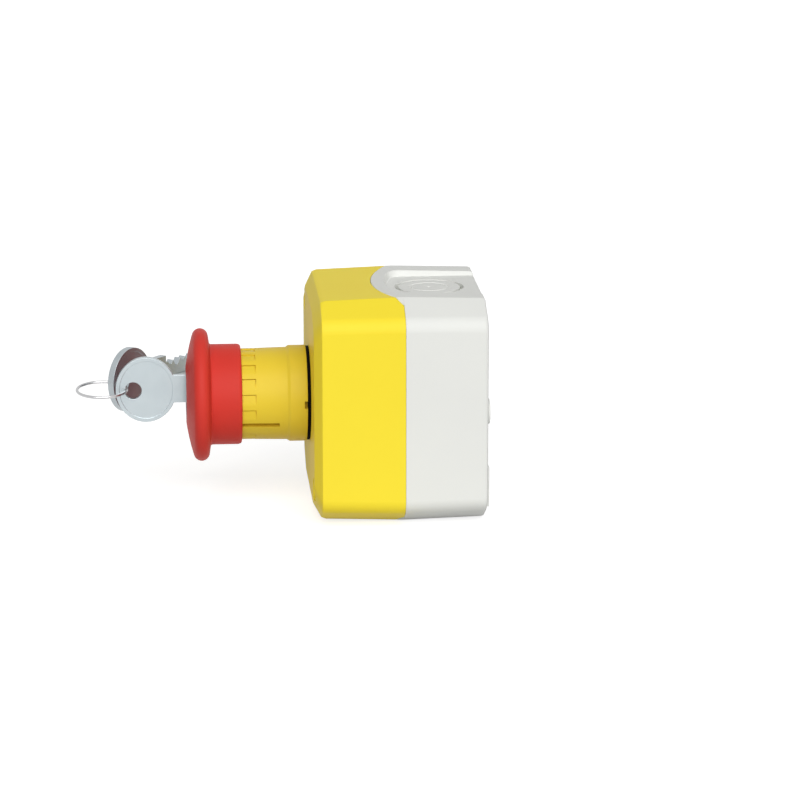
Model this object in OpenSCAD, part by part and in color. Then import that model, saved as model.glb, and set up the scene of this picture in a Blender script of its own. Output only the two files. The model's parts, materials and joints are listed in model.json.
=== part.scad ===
// Emergency stop station: a wall box with a key release mushroom head.
// The wall is the plane Y = 0, the head points along -Y, Z is up, and the head's axis is X = Z = 0.
// Most pieces are drawn lying on the wall, with Z away from it, and outward() stands them up.

/* [Box] */
// Width of the box across its parting line
box_w = 68; // [67:0.5:76]
// Height of the box across its parting line
box_h = 68; // [67:0.5:76]
// Distance from the wall to the parting line
base_depth = 25.2; // [24:0.2:30]
// Distance from the parting line to the front face
lid_depth = 26.8; // [25:0.2:32]
// Width of the flat strip on the top and bottom faces
top_flat_w = 46; // [42:1:48]
// Tilt of the shoulders beside that strip, in degrees
shoulder_tilt = 26.5; // [22:0.5:32]
// Radius between a shoulder and the side face
corner_r = 5.2; // [3:0.2:7]
// How far the sides of the base lean in from parting line to back
base_draft = 0.65; // [0.2:0.05:1.2]
// How far the sides of the lid lean in from parting line to bevel
lid_draft = 0.86; // [0.2:0.02:1.2]
// Depth of the bevel round the front face
bevel_depth = 2.3; // [1:0.1:2.6]
// Width of the bevel at the left and right
bevel_side = 3.7; // [2:0.1:5]
// Width of the bevel at the top and bottom
bevel_end = 4.1; // [2:0.1:5]
// Depth of the crowned strip between bevel and top face
crown_depth = 1.4; // [0.8:0.1:2]
// How far that strip drops towards the bevel
crown_drop = 0.5; // [0.2:0.05:0.8]
// Rounding of the back edge
back_round = 1; // [0.4:0.1:1.6]

/* [Walls] */
// Thickness of the left and right walls
side_wall = 2.8; // [2.6:0.1:3.4]
// Thickness of the top and bottom walls
end_wall = 4.4; // [4.2:0.1:5]
// Thickness of the back wall
back_wall = 2.6; // [2.4:0.1:3.4]
// Thickness of the front wall
front_wall = 2.8; // [2.2:0.1:3.6]
// Height of the feet on the back
foot_h = 0.8; // [0.4:0.1:1.5]

/* [Seam] */
// Height of the base's rim inside the lid
lap_h = 3; // [2:0.2:4]
// Thickness of that rim
lap_t = 1.2; // [1:0.05:1.4]
// Gap between rim and lid
lap_gap = 0.15; // [0.1:0.05:0.25]
// Thickness of the seal in front of the rim
seal_t = 1.2; // [0.8:0.1:2]
// How far the tongues of the base reach past the parting line
tongue_reach = 7.95; // [6.5:0.05:8.2]
// Radius of a tongue's outline
tongue_r = 48; // [40:1:56]
// Gap between a tongue and the lid
tongue_gap = 0.12; // [0.1:0.02:0.2]

/* [Cable entries] */
// Diameter of a cable entry's knock-out
entry_d = 20.8; // [16:0.2:22]
// Distance from the wall to its centre
entry_y = 15.6; // [14.5:0.1:16]
// Depth of the knock-out's face below its pad
entry_drop = 0.4; // [0.2:0.1:0.6]
// Depth of the pad below the box's top at the parting line
pad_drop = 1.9; // [1.2:0.1:2]
// Width of the pad
pad_w = 30; // [26:0.5:32]
// Slope of the pad's border, measured across
pad_slope = 1.1; // [0.4:0.1:1.6]
// Rim left between pad and tongue end
pad_rim = 4.8; // [4:0.1:6]
// Radius of the pad's corners
pad_corner_r = 4; // [2:0.5:6]
// Thickness of the web to knock out
entry_web = 1.1; // [0.8:0.1:1.3]

/* [Fixings] */
// Distance between the two wall screws
wall_pitch = 54; // [50:0.5:55]
// Diameter of the wall screw holes
wall_hole_d = 4.4; // [3.6:0.1:5]
// How far a lid screw lies past the end of the flat strip on the top and bottom faces
lid_screw_past = 2; // [1:0.5:3]
// Distance of a lid screw from the top or bottom of the box
lid_screw_end = 10.5; // [10:0.5:13]
// Shank diameter of a lid screw
lid_screw_d = 3.4; // [2.6:0.1:3.6]
// Head diameter of a lid screw
lid_head_d = 6.4; // [5:0.1:6.8]
// Head height of a lid screw
lid_head_h = 2.4; // [1.6:0.1:3]
// Depth of a lid screw's head below the front face
lid_head_sunk = 1.2; // [0.4:0.1:2]
// Shank diameter of the small screws inside
small_screw_d = 3; // [2.5:0.1:3.2]
// Head diameter of the small screws inside
small_head_d = 5.4; // [4.4:0.1:5.6]

/* [Head] */
// Diameter of the sleeve under the collar
sleeve_d = 27.5; // [27:0.1:28]
// Diameter of the sleeve at the bezel
sleeve_foot_d = 27.9; // [27.5:0.1:28.2]
// Distance from the front face to the sleeve's end
sleeve_len = 26.5; // [25:0.5:27.5]
// Diameter of the bezel ring
bezel_d = 29; // [28.4:0.1:32]
// Height of the bezel ring
bezel_h = 5.9; // [4:0.1:8]
// Thickness of the gasket under the bezel
gasket_t = 1; // [0.6:0.1:1.6]
// Diameter of the threaded barrel through the lid
barrel_d = 21.8; // [21.4:0.1:22]
// Distance from the front face to the barrel's inner end
barrel_in = 10; // [9.6:0.1:10.2]
// Bore of the barrel
barrel_bore = 17.6; // [17.2:0.1:17.8]
// Height of the ring nut
nut_h = 4; // [3:0.2:4.6]
// Diameter of the ring nut
nut_d = 29; // [27:0.5:32]
// Number of ratchet pockets round the sleeve
pocket_count = 18; // [12:1:20]
// Depth of a ratchet pocket
pocket_depth = 0.4; // [0.2:0.05:0.5]
// Length of the sleeve's pockets that shows behind the collar
pocket_shown = 2.6; // [1.5:0.1:4]

/* [Mushroom] */
// Diameter of the mushroom
cap_d = 40; // [38:0.5:44]
// Half the thickness of its rounded rim
rim_r = 2.4; // [2:0.1:3]
// Rise of the dome above the middle of the rim
dome_rise = 5; // [4:0.1:6.5]
// Outer diameter of the collar
collar_d = 30.3; // [30:0.1:32]
// Distance from the front face to the collar's edge
collar_gap = 20.5; // [19:0.1:22]
// Slope of the rim's rear face, in degrees
rim_slope = 9; // [0:1:15]
// Length of the mushroom from collar edge to dome top
cap_len = 17.1; // [16.6:0.1:20]
// Travel of the mushroom
travel = 5; // [3:0.1:5.2]
// Outer diameter of the hub inside the collar
hub_d = 20.8; // [20:0.1:21.4]

/* [Lock] */
// Diameter of the lock's case
lock_d = 16.4; // [16:0.1:16.6]
// Diameter of the plug
plug_d = 10.4; // [10:0.1:10.8]
// Depth of the plug's face below the dome top
plug_sunk = 5.2; // [4.6:0.1:5.4]
// Thickness of a key
key_t = 2.2; // [1.8:0.1:2.4]
// Length of a key's bow
bow_l = 18.2; // [17:0.1:18.6]
// Height of a key's bow
bow_h = 19.8; // [17:0.1:21]
// Distance of the key's shoulder from the bow's centre
key_shoulder = 16.6; // [16.4:0.1:18]
// Width of a key's shank
shank_w = 8.4; // [7:0.1:8.8]
// Height of a key's blade
blade_h = 6.4; // [5.6:0.1:6.6]
// Length of a key's blade
blade_l = 17; // [12:0.5:17.2]
// Diameter of the hole in a key's bow
key_hole_d = 5.2; // [4.6:0.1:6]
// Distance of that hole from the bow's centre
key_hole_off = 3.9; // [3.4:0.1:4.4]
// Width of the raised border round a bow
bow_border = 1.1; // [0.8:0.1:1.6]
// Depth of the field inside that border
bow_field_d = 0.2; // [0.1:0.05:0.4]
// Diameter of the key ring, across the middle of its wire
ring_d = 14.9; // [14:0.1:18]
// Wire diameter of the key ring
ring_wire = 0.9; // [0.6:0.1:1.2]

/* [Contacts] */
// Width of a contact block
block_w = 11; // [10.6:0.1:11.4]
// Height of a contact block
block_h = 40; // [38:0.5:42]
// Distance from the wall to the front of a contact block
block_front = 34; // [33:0.2:34.4]
// Wall thickness of a contact block
block_wall = 1.2; // [1:0.1:1.4]
// Thickness of a contact strip
strip_t = 1; // [0.8:0.1:1.2]
// Distance from the wall to the rear face of a contact bridge
bridge_y = 20; // [19.6:0.1:20.4]

/* [Hidden] */

// Fineness of round pieces, and of the rounded corners of the box
$fn = 64;
arc_steps = 8;
// Overlap of a cut past the face that it leaves
cut = 0.5;
// Clearance of a turned piece in its bore, of a sliding one, and of a screw in its hole
turn_gap = 0.05;
slide_gap = 0.15;
screw_gap = 0.02;

// Head: the cap's ceiling past its rim, the room for its spring, and the hub past the collar's edge
ceiling_rise = 0.4;
spring_room_l = 12;
spring_room_t = 2;
hub_reach = 6.5;
return_wire = 1.1;

// Distances from the wall
front_y = base_depth + lid_depth;
lid_floor_y = front_y - front_wall;
base_floor_y = foot_h + back_wall;
seal_y = base_depth + lap_h;
bezel_y = front_y + gasket_t;
barrel_end_y = front_y - barrel_in;
collar_y = front_y + collar_gap;
cap_top_y = collar_y + cap_len;
rim_y = cap_top_y - dome_rise;
cap_ceiling_y = rim_y + ceiling_rise;
sleeve_end_y = front_y + sleeve_len;
spring_seat_y = sleeve_end_y - spring_room_l;
hub_end_y = collar_y - hub_reach;
plug_face_y = cap_top_y - plug_sunk;
bow_y = plug_face_y + key_shoulder;

// Half sizes of the space inside the box
room_x = box_w / 2 - side_wall;
room_z = box_h / 2 - end_wall;
room_flat = top_flat_w / 2 - 2;

// Feet on the back, rings round the wall screws, and plastic round a lid screw
foot_r = 3.8;
foot_w = 5;
foot_l = 12;
foot_x = 26;
foot_z = 22.9;
wall_ring_h = 1.5;
wall_ring_t = 1.7;
screw_wall = 1.8;
web_t = 2;
lid_screw_x = top_flat_w / 2 + lid_screw_past;
lid_screw_z = box_h / 2 - lid_screw_end;
lid_screw_end_y = base_floor_y + 4;
lid_head_y = front_y - lid_head_sunk - lid_head_h;
rib_z = 20;
rib_t = 1.4;
rib_h = 2.5;

// Latch: the collar's lugs pass between two ledges in the barrel, and turn behind them
turn_angle = 45;
latch_gap = 0.2;
ledge_w = 1.2;
ledge_t = 1;
ledge_spread = 20;
ledge_r = barrel_bore / 2 - ledge_w;
lug_r = barrel_bore / 2 - latch_gap;
lug_w = 4;
lug_t = 2;
tail_w = 5;
tail_l = 9.5;
lug_y = hub_end_y - tail_l;
ledge_y = lug_y - travel + lug_t + latch_gap;
latch_hub_d = 8.6;
latch_foot = 1;
latch_lip = 0.5;
latch_screw_d = 2;
latch_screw_l = 4;
latch_head_d = 7.4;
latch_head_h = 1.2;
ram_ring_t = 2;
ram_r = ledge_r - latch_gap;
leg_t = 2.2;
leg_inset = 0.1;
leg_spread = 16;
leg_end_y = lug_y - latch_foot - latch_head_h - 3.8;
ram_end_y = barrel_end_y - latch_gap;
pusher_t = 2;
pusher_d = 19.2;
plunger_top_y = ram_end_y - pusher_t - turn_gap;

// Lock: its case ends at a retaining ring, and the plug has a flange at its face
retainer_t = 1.2;
retainer_y = hub_end_y + 3;
flange_t = 1;
flange_w = 1;

// Contact blocks: a spring room in the middle, a terminal pocket and an ear at each end
block_x = block_w / 2 + 0.3;
ear_l = 5;
ear_t = 2.5;
ear_screw_out = 2.7;
ear_screw_z = block_h / 2 + ear_screw_out;
block_screw_end_y = foot_h + 1;
pocket_w = 6.6;
terminal_inset = 3;
terminal_room = 4;
terminal_z = block_h / 2 - terminal_inset;
spring_room_h = 2 * (terminal_z - terminal_room);
plunger_x = 4;
plunger_z = 6;
spring_foot_y = base_floor_y + block_wall;
spring_top_y = spring_foot_y + 7.4;
bridge_t = 1.2;
bridge_w = 3;
bridge_z = 19;
tip_r = 1.2;
tip_h = 0.4;
tip_z = 8;
tip_gap = 0.05;
nose_r = 1.1;
nose_h = 2;
block_wire = 0.5;
strip_w = 5;
clamp_t = 1;
clamp_lift = 3;
nc_strip_y = bridge_y + bridge_t + 2 * tip_h + tip_gap;
no_strip_y = bridge_y - 2 * tip_h - travel - tip_gap - strip_t;

// Keys: the ring's wire lies in the end of the first key's hole
blade_z = -2.1;
bow_z = 1.94;
ring_y = bow_y + key_hole_off + key_hole_d / 2 - ring_wire / 2 - 0.25;
ring_z = bow_z + 0.1;
ring_tilt = 4.7;
spare_turn = 51;
spare_at = [-10.2, -(bow_y + 4.88), bow_z + 0.69];

function arc(cx, cy, r, a0, a1, n = arc_steps) =
    [for (i = [0 : n]) let (a = a0 + (a1 - a0) * i / n) [cx + r * cos(a), cy + r * sin(a)]];

function mirrored(points) = [for (i = [len(points) - 1 : -1 : 0]) [-points[i][0], points[i][1]]];

// Height of the centre of the rounding between a side face and a shoulder
function corner_z(w, h, flat, r) = h - (r + (w - r - flat) * sin(shoulder_tilt)) / cos(shoulder_tilt);

// One quarter of the box's outline: a side face, a rounding at height cz, a shoulder and the top strip
function quarter(w, h, flat, r, cz) =
    let (across = w - r - flat, up = h - cz, tilt = acos(r / norm([across, up])) - atan(across / up))
    concat(arc(w - r, cz, r, 0, 90 - tilt), [[flat, h]]);

// The whole outline; drop lowers the top and bottom strips and leaves the roundings in place
function outline_points(w, h, flat, r, drop = 0) =
    let (right = quarter(w, h - drop, flat, r, corner_z(w, h, flat, r)),
        upper = concat(right, mirrored(right)))
    concat(upper, [for (p = upper) [-p[0], -p[1]]]);

module outward() {
    rotate([90, 0, 0])
        children();
}

module at(x, z, y) {
    translate([x, z, y])
        children();
}

// A disc or tube round the head's axis, from one distance off the wall to another
module tube(y0, y1, r, bore = 0) {
    at(0, 0, y0)
        difference() {
            cylinder(h = y1 - y0, r = r);
            if (bore > 0)
                at(0, 0, -cut)
                    cylinder(h = y1 - y0 + 2 * cut, r = bore);
        }
}

// A block centred on x and z, between two distances off the wall
module bar(x, z, w, h, y0, y1) {
    at(x - w / 2, z - h / 2, y0)
        cube([w, h, y1 - y0]);
}

// An angular sector between two radii
module sector(r0, r1, a0, a1) {
    polygon(concat(arc(0, 0, r1, a0, a1), arc(0, 0, r0, a1, a0)));
}

module box_section(inset = 0, flat = top_flat_w / 2) {
    polygon(outline_points(box_w / 2 - inset, box_h / 2 - inset, flat, corner_r));
}

module room_section(grow = 0) {
    polygon(outline_points(room_x + grow, room_z + grow, room_flat, corner_r - side_wall + grow));
}

module slice(y, t = 0.01) {
    at(0, 0, y)
        linear_extrude(t)
            children();
}

// Outer form of the base, from the parting line back to its rounded edge
module base_form() {
    hull() {
        slice(base_depth - 0.01) box_section();
        slice(foot_h + back_round) box_section(base_draft);
        slice(foot_h + back_round * 0.3) box_section(base_draft + back_round * 0.3);
        slice(foot_h) box_section(base_draft + back_round, top_flat_w / 2 - back_round);
    }
}

// Outer form of the lid: drafted sides, a crowned strip at the top and bottom, and a bevel in front
module lid_form() {
    lid_x = box_w / 2 - lid_draft;
    lid_z = box_h / 2 - lid_draft;
    flat = top_flat_w / 2;
    bevel_y = front_y - bevel_depth;
    hull() {
        slice(base_depth) box_section();
        slice(bevel_y - crown_depth)
            box_section(lid_draft * (1 - crown_depth / (lid_depth - bevel_depth)));
        slice(bevel_y) polygon(outline_points(lid_x, lid_z, flat, corner_r, crown_drop));
        slice(front_y - 0.01)
            polygon(outline_points(lid_x - bevel_side, lid_z - bevel_end, flat - bevel_side, corner_r));
    }
}

// The round tongues of the base that reach over the lid at the top and bottom
module tongue_prisms(gap = 0) {
    reach = base_depth + tongue_reach;
    floor_z = room_z + lap_t - gap;
    for (side = [0, 180])
        rotate([0, side, 0])
            difference() {
                translate([0, tongue_r - reach, floor_z])
                    cylinder(h = end_wall, r = tongue_r + gap, $fn = 128);
                translate([-box_w, -base_depth + gap / 2, 0])
                    cube([2 * box_w, 3 * tongue_r, box_h]);
            }
}

// Outline of the sunk pad round a cable entry: its end runs along the tongue's, and it is open at the back
module pad_outline(grow) {
    centre_y = tongue_r - base_depth - tongue_reach;
    corner_x = pad_w / 2 - pad_corner_r;
    corner_reach = tongue_r - pad_rim - pad_corner_r;
    turn = acos(corner_x / corner_reach);
    corner_y = centre_y - corner_reach * sin(turn);
    right = concat(
        [[pad_w / 2 + grow, corner_r]],
        arc(corner_x, corner_y, pad_corner_r + grow, 0, -turn * (1 - 1 / arc_steps), arc_steps - 1));
    polygon(concat(
        right,
        arc(0, centre_y, tongue_r - pad_rim + grow, -turn, turn - 180, 12),
        mirrored(right)));
}

module pad_cut() {
    pad_z = box_h / 2 - pad_drop;
    hull() {
        translate([0, 0, pad_z])
            linear_extrude(0.01) pad_outline(0);
        translate([0, 0, box_h / 2 + 0.2])
            linear_extrude(0.01) pad_outline(pad_slope);
    }
    translate([0, -entry_y, pad_z - entry_drop])
        cylinder(h = entry_drop + cut, d = entry_d);
}

// The thinned web behind a knock-out, reached from inside
module entry_back() {
    web_z = box_h / 2 - pad_drop - entry_drop - entry_web;
    translate([0, -entry_y, room_z - cut])
        cylinder(h = web_z - room_z + cut, d = entry_d - 2.4);
}

module lid_screw_places() {
    for (s = [1, -1])
        at(s * lid_screw_x, -s * lid_screw_z, 0)
            children();
}

module block_screw_places() {
    for (x = [-block_x, block_x], z = [-1, 1])
        at(x, z * ear_screw_z, 0)
            children();
}

module base_box() {
    pillar_r = lid_screw_d / 2 + screw_wall;
    color([0.91, 0.91, 0.90])
        difference() {
            union() {
                outward()
                    difference() {
                        base_form();
                        at(0, 0, base_floor_y)
                            linear_extrude(base_depth) room_section();
                    }
                intersection() {
                    outward() lid_form();
                    tongue_prisms();
                }
                outward() {
                    // Rim inside the lid
                    at(0, 0, base_floor_y)
                        linear_extrude(seal_y - base_floor_y)
                            difference() {
                                room_section(lap_t);
                                room_section();
                            }
                    // Pillars for the lid screws, with a web to the side wall
                    lid_screw_places()
                        at(0, 0, base_floor_y - cut)
                            cylinder(h = base_depth - base_floor_y + cut, r = pillar_r);
                    for (s = [1, -1])
                        bar(s * (lid_screw_x + room_x) / 2, -s * lid_screw_z,
                            room_x - lid_screw_x + cut, web_t, base_floor_y - cut, base_depth - 2);
                    // Rings and round feet at the wall screw holes, long feet below and one at the top
                    for (s = [1, -1]) {
                        at(s * wall_pitch / 2, 0, base_floor_y - cut)
                            cylinder(h = wall_ring_h + cut, r = wall_hole_d / 2 + wall_ring_t);
                        at(s * wall_pitch / 2, 0, 0)
                            cylinder(h = foot_h + cut, r = foot_r);
                        bar(s * foot_x, -foot_z, foot_w, foot_l, 0, foot_h + cut);
                    }
                    bar(0, foot_z + (foot_l - foot_w) / 2, foot_l, foot_w, 0, foot_h + cut);
                }
            }
            for (side = [0, 180])
                rotate([0, side, 0]) {
                    pad_cut();
                    entry_back();
                }
            outward() {
                for (s = [1, -1])
                    at(s * wall_pitch / 2, 0, -cut)
                        cylinder(h = base_floor_y + wall_ring_h + 2 * cut, d = wall_hole_d);
                lid_screw_places()
                    at(0, 0, lid_screw_end_y - 1)
                        cylinder(h = base_depth, r = lid_screw_d / 2 + screw_gap);
                block_screw_places()
                    at(0, 0, block_screw_end_y - 0.2)
                        cylinder(h = back_wall, r = small_screw_d / 2 + screw_gap);
            }
        }
}

module front_lid() {
    well_r = lid_head_d / 2 + 0.3;
    boss_r = lid_screw_d / 2 + screw_wall;
    color([0.99, 0.88, 0.25])
        difference() {
            outward() {
                difference() {
                    lid_form();
                    at(0, 0, base_depth - cut)
                        linear_extrude(lid_floor_y - base_depth + cut) room_section();
                    at(0, 0, base_depth - cut)
                        linear_extrude(lap_h + seal_t + cut) room_section(lap_t + lap_gap);
                }
                // Bosses that reach back to the pillars of the base
                lid_screw_places()
                    at(0, 0, base_depth + 0.2)
                        cylinder(h = lid_floor_y - base_depth, r = boss_r);
                lid_screw_places()
                    at(0, 0, lid_head_y - 2)
                        cylinder(h = lid_floor_y - lid_head_y + 2.2, r = well_r + 1.2);
                // Ribs across the inside of the front wall
                for (z = [-1, 1])
                    bar(0, z * rib_z, 2 * room_x - 2, rib_t, lid_floor_y - rib_h, lid_floor_y + cut);
            }
            tongue_prisms(tongue_gap);
            outward() {
                at(0, 0, lid_floor_y - cut)
                    cylinder(h = front_wall + 2 * cut, r = barrel_d / 2 + 0.25);
                lid_screw_places() {
                    at(0, 0, base_depth)
                        cylinder(h = lid_depth + cut, r = lid_screw_d / 2 + 0.25);
                    at(0, 0, lid_head_y)
                        cylinder(h = lid_head_h + lid_head_sunk + cut, r = well_r);
                }
            }
        }
}

module lid_seal() {
    color([0.12, 0.12, 0.12])
        outward()
            at(0, 0, seal_y)
                linear_extrude(seal_t)
                    difference() {
                        room_section(lap_t - 0.1);
                        room_section(0.1);
                    }
}

// A screw whose head's underside is at y, with a slot or a cross in its head
module screw(y, shank_d, shank_l, head_d, head_h, cross = true) {
    difference() {
        union() {
            at(0, 0, y)
                cylinder(h = head_h, d = head_d);
            at(0, 0, y - shank_l)
                cylinder(h = shank_l + cut, d = shank_d);
        }
        for (a = cross ? [0, 90] : [0])
            rotate(a)
                bar(0, 0, head_d * (cross ? 0.62 : 1.2), head_d * 0.16, y + head_h * 0.45, y + head_h + cut);
    }
}

module lid_screws() {
    color([0.78, 0.79, 0.80])
        outward()
            lid_screw_places()
                screw(lid_head_y, lid_screw_d, lid_head_y - lid_screw_end_y, lid_head_d, lid_head_h);
}

module head_sleeve() {
    wall_r = sleeve_d / 2;
    foot_r = sleeve_foot_d / 2;
    bezel_r = bezel_d / 2;
    step_y = bezel_y + bezel_h;
    pocket_y = collar_y - pocket_shown;
    pocket_angle = 10;
    groove_angle = -30;
    groove_y = step_y + 2.5;
    groove_w = 1.1;
    groove_d = 0.7;
    notch_w = 1.9;
    notch_h = 0.9;
    notch_d = 0.8;
    pocket_phase = 12;
    hub_room_r = hub_d / 2 + 2 * turn_gap;
    ram_room_y = hub_end_y - travel - ram_ring_t - latch_gap;
    color([0.95, 0.82, 0.24])
        outward()
            difference() {
                rotate_extrude()
                    polygon([
                        [barrel_bore / 2, barrel_end_y],
                        [barrel_d / 2 - 0.5, barrel_end_y],
                        [barrel_d / 2, barrel_end_y + 0.5],
                        [barrel_d / 2, bezel_y],
                        [bezel_r, bezel_y],
                        [bezel_r, step_y - 0.8],
                        [foot_r, step_y],
                        [wall_r, collar_y - travel],
                        [wall_r, sleeve_end_y - 0.4],
                        [wall_r - 0.4, sleeve_end_y],
                        [hub_d / 2 + spring_room_t, sleeve_end_y],
                        [hub_d / 2 + spring_room_t, spring_seat_y],
                        [hub_room_r, spring_seat_y],
                        [hub_room_r, ram_room_y],
                        [barrel_bore / 2, ram_room_y]
                    ]);
                // Ratchet pockets, deepest at their upper edge
                for (i = [0 : pocket_count - 1])
                    rotate(pocket_phase + i * 360 / pocket_count)
                        at(wall_r, 0, pocket_y)
                            rotate(-pocket_angle - 3)
                                at(-pocket_depth, -wall_r * sin(pocket_angle), 0)
                                    cube([3, wall_r * sin(pocket_angle), sleeve_end_y - pocket_y + cut]);
                rotate(groove_angle)
                    at(wall_r - groove_d, -groove_w / 2, groove_y)
                        cube([3, groove_w, collar_y - groove_y]);
                // Notch in the bezel's rear edge
                bar(bezel_r, -0.3, 2 * notch_d, notch_w, bezel_y - cut, bezel_y + notch_h);
            }
    // Ledges that hold the latch collar while the button is pressed
    color([0.95, 0.82, 0.24])
        outward()
            for (side = [0, 180])
                rotate(side)
                    at(0, 0, ledge_y)
                        linear_extrude(ledge_t)
                            sector(ledge_r, barrel_bore / 2 + 0.3,
                                -turn_angle - ledge_spread, -turn_angle + ledge_spread);
}

module head_gasket() {
    color([0.09, 0.07, 0.05])
        outward()
            tube(front_y, bezel_y, bezel_d / 2 - 0.3, barrel_d / 2 + 0.3);
}

module fixing_nut() {
    color([0.25, 0.25, 0.27])
        outward()
            difference() {
                tube(lid_floor_y - nut_h, lid_floor_y, nut_d / 2, barrel_d / 2 + screw_gap);
                for (a = [0 : 60 : 300])
                    rotate(a)
                        bar(nut_d / 2, 0, 3, 3, lid_floor_y - nut_h - cut, lid_floor_y - 1);
            }
}

// The dome is an arc that runs into the rounded rim, and the collar goes back from the rim over the sleeve
module mushroom_cap() {
    rim_c = cap_d / 2 - rim_r;
    dome_r = (rim_c * rim_c + dome_rise * dome_rise - rim_r * rim_r) / (2 * (dome_rise - rim_r));
    dome_c = cap_top_y - dome_r;
    tangent = asin(rim_c / (dome_r - rim_r));
    hole_r = lock_d / 2 + turn_gap;
    edge = asin(hole_r / dome_r);
    outer_r = collar_d / 2;
    inner_r = sleeve_foot_d / 2 + 0.2;
    // The collar's edge is rounded deeper than its wall is thick, and its root runs into the rim's rear face
    edge_w = 0.8;
    edge_l = 1.3;
    root_r = 0.6;
    root_x = outer_r + root_r;
    rear_y = rim_y - rim_r * cos(rim_slope) - (rim_c + rim_r * sin(rim_slope) - root_x) * tan(rim_slope);
    color([0.78, 0.22, 0.19])
        outward()
            rotate_extrude($fn = 96)
                polygon(concat(
                    [[hole_r, hub_end_y], [hub_d / 2, hub_end_y], [hub_d / 2, cap_ceiling_y],
                        [inner_r, cap_ceiling_y], [inner_r, collar_y]],
                    [for (a = [-90 : 15 : 0])
                        [outer_r - edge_w + edge_w * cos(a), collar_y + edge_l + edge_l * sin(a)]],
                    arc(root_x, rear_y - root_r / cos(rim_slope), root_r, 180, 90 + rim_slope, 4),
                    arc(rim_c, rim_y, rim_r, rim_slope - 90, 90 - tangent, 12),
                    arc(0, dome_c, dome_r, 90 - tangent, 90 - edge, 12)));
}

module lock_case() {
    lock_r = lock_d / 2;
    face_y = cap_top_y - 0.6;
    face_w = 1.3;
    well_r = lock_r - face_w;
    bore_r = plug_d / 2 + turn_gap;
    seat_y = plug_face_y - flange_t;
    color([0.80, 0.81, 0.82])
        outward()
            rotate_extrude()
                polygon([
                    [bore_r, retainer_y], [lock_r, retainer_y],
                    [lock_r, face_y - 0.4], [lock_r - 0.4, face_y], [well_r + 0.3, face_y],
                    [well_r, face_y - 0.3], [well_r, seat_y], [bore_r, seat_y]
                ]);
}

module lock_retainer() {
    color([0.55, 0.56, 0.58])
        outward()
            difference() {
                tube(retainer_y - retainer_t, retainer_y, lock_d / 2, plug_d / 2 + 2 * latch_gap);
                bar(0, lock_d / 2, 2, 4, hub_end_y, retainer_y + cut);
            }
}

// The ram carries the cap's push past the latch collar on two legs
module ram() {
    leg_r = ram_r - leg_inset;
    color([0.88, 0.88, 0.86])
        outward()
            difference() {
                union() {
                    tube(hub_end_y - ram_ring_t, hub_end_y, hub_d / 2);
                    for (side = [0, 180])
                        rotate(side)
                            at(0, 0, leg_end_y - cut)
                                linear_extrude(hub_end_y - ram_ring_t - leg_end_y + 2 * cut)
                                    sector(leg_r - leg_t, leg_r, 90 - leg_spread, 90 + leg_spread);
                    tube(ram_end_y, leg_end_y, ram_r);
                }
                tube(hub_end_y - ram_ring_t - cut, hub_end_y + cut, latch_hub_d / 2 + latch_gap);
                tube(ram_end_y - cut, leg_end_y - 2, small_screw_d / 2 + screw_gap);
            }
}

module pusher_plate() {
    color([0.20, 0.20, 0.22])
        outward()
            difference() {
                tube(ram_end_y - pusher_t, ram_end_y, pusher_d / 2, small_screw_d / 2 + 0.1);
                tube(ram_end_y - pusher_t - cut, ram_end_y - pusher_t + 1, small_head_d / 2 + 0.1);
            }
}

module pusher_screw() {
    color([0.75, 0.76, 0.78])
        outward()
            at(0, 0, 2 * (ram_end_y - pusher_t + 1))
                mirror([0, 0, 1])
                    screw(ram_end_y - pusher_t + 1, small_screw_d, 5, small_head_d, 1, false);
}

module lock_plug() {
    slot_w = key_t + 0.2;
    slot_h = blade_h + 0.3;
    slot_end_y = plug_face_y - blade_l - 0.4;
    color([0.83, 0.82, 0.78])
        outward()
            difference() {
                union() {
                    tube(hub_end_y, plug_face_y, plug_d / 2);
                    tube(plug_face_y - flange_t, plug_face_y, plug_d / 2 + flange_w);
                    bar(0, 0, tail_w, tail_w, lug_y - latch_foot, hub_end_y + cut);
                }
                bar(0, blade_z + blade_h / 2, slot_w, slot_h, slot_end_y, plug_face_y + cut);
                tube(lug_y - latch_foot - cut, lug_y - latch_foot + latch_screw_l + 2,
                    latch_screw_d / 2 + screw_gap);
            }
}

module latch_collar() {
    color([0.35, 0.36, 0.38])
        outward()
            difference() {
                union() {
                    tube(lug_y - latch_foot, lug_y + lug_t + latch_lip, latch_hub_d / 2);
                    intersection() {
                        bar(0, 0, 2 * barrel_bore, lug_w, lug_y, lug_y + lug_t);
                        tube(lug_y, lug_y + lug_t, lug_r);
                    }
                }
                bar(0, 0, tail_w + 2 * screw_gap, tail_w + 2 * screw_gap,
                    lug_y - latch_foot - cut, lug_y + lug_t + latch_lip + cut);
            }
}

module collar_screw() {
    color([0.75, 0.76, 0.78])
        outward()
            at(0, 0, 2 * (lug_y - latch_foot))
                mirror([0, 0, 1])
                    screw(lug_y - latch_foot, latch_screw_d, latch_screw_l,
                        latch_head_d, latch_head_h, false);
}

// A wire wound round an axis; one ring of points for each step of the helix
module coil(y0, y1, mean_r, wire_d, turns, steps = 16, sides = 6) {
    n = turns * steps;
    rise = y1 - y0 - wire_d;
    function ring(i) =
        let (a = 360 * i / steps, lift = y0 + wire_d / 2 + rise * i / n)
        [for (k = [0 : sides - 1])
            let (b = 360 * k / sides, r = mean_r + wire_d / 2 * cos(b))
            [r * cos(a), r * sin(a), lift + wire_d / 2 * sin(b)]];
    polyhedron(
        points = [for (i = [0 : n]) each ring(i)],
        faces = concat(
            [[for (k = [0 : sides - 1]) k]],
            [for (i = [0 : n - 1], k = [0 : sides - 1])
                let (m = (k + 1) % sides)
                [i * sides + k, (i + 1) * sides + k, (i + 1) * sides + m, i * sides + m]],
            [[for (k = [sides - 1 : -1 : 0]) n * sides + k]]));
}

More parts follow.
